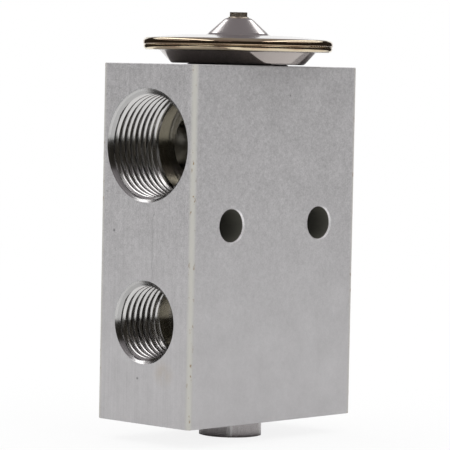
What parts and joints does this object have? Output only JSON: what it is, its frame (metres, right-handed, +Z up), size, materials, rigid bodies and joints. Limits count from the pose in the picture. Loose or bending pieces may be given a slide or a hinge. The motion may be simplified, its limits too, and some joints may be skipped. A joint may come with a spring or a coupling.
{
  "type": "thermostatic expansion valve",
  "caption": "Block refrigerant expansion valve: threaded ports through an aluminium block, a welded diaphragm head on top and a hexagonal superheat adjuster below.",
  "frame": {"origin": "on the adjuster's lower face, under the middle of the block: bottom centre of the whole", "axes": "+Z up the valve's axis towards the diaphragm head, -X towards the pipe side with the large and small threaded ports, +X towards the evaporator side"},
  "size_m": [0.048, 0.0388, 0.0867],
  "materials": {
    "block_aluminium": "fine matte sawn and tumbled aluminium",
    "head_stainless": "polished pressed stainless, straw heat tint at the welded rim",
    "turned_steel": "turned bright steel",
    "inner_stainless": "smooth stainless",
    "rod_aluminium": "smooth drawn rod",
    "spring_steel": "drawn spring wire",
    "plug_bronze": "dull bronze, crimped",
    "nut_steel": "satin machined",
    "seal_rubber": "smooth dark green rubber"
  },
  "bodies": {
    "block": {"valve_block": "block_aluminium", "head_neck": "turned_steel", "head_lower_shell": "head_stainless", "head_upper_shell": "head_stainless", "diaphragm": "inner_stainless", "charge_plug": "plug_bronze", "head_seal": "seal_rubber", "rod_seal": "seal_rubber", "rod_seal_retainer": "inner_stainless", "orifice_seat": "inner_stainless"},
    "valve_train": {"diaphragm_pad": "turned_steel", "sensing_rod": "rod_aluminium", "push_pin": "inner_stainless", "valve_ball": "inner_stainless", "ball_carrier": "turned_steel", "damping_spring": "spring_steel"},
    "spring_foot": {"spring_washer": "turned_steel", "valve_spring": "spring_steel"},
    "adjuster": {"adjusting_nut": "nut_steel", "adjuster_seal": "seal_rubber"}
  },
  "joints": [
    {"name": "valve_stroke", "type": "slide", "parent": "block", "child": "valve_train", "axis": [0, 0, -1], "range_m": [0, 0.0007], "stiffness_N_per_m": 2000, "springref_m": -0.001, "deforming": ["diaphragm", "valve_spring"]},
    {"name": "adjuster_advance", "type": "slide", "parent": "block", "child": "spring_foot", "axis": [0, 0, 1], "range_m": [-0.001, 0.001], "deforming": ["valve_spring"]},
    {"name": "adjuster_turn", "type": "hinge", "parent": "spring_foot", "child": "adjuster", "pos_m": [0.00155, 0, 0], "axis": [0, 0, 1], "range_deg": [-360, 360]}
  ],
  "couplings": [
    {"joint": "adjuster_turn", "follows": "adjuster_advance", "rad_per_m": 6283.1}
  ]
}
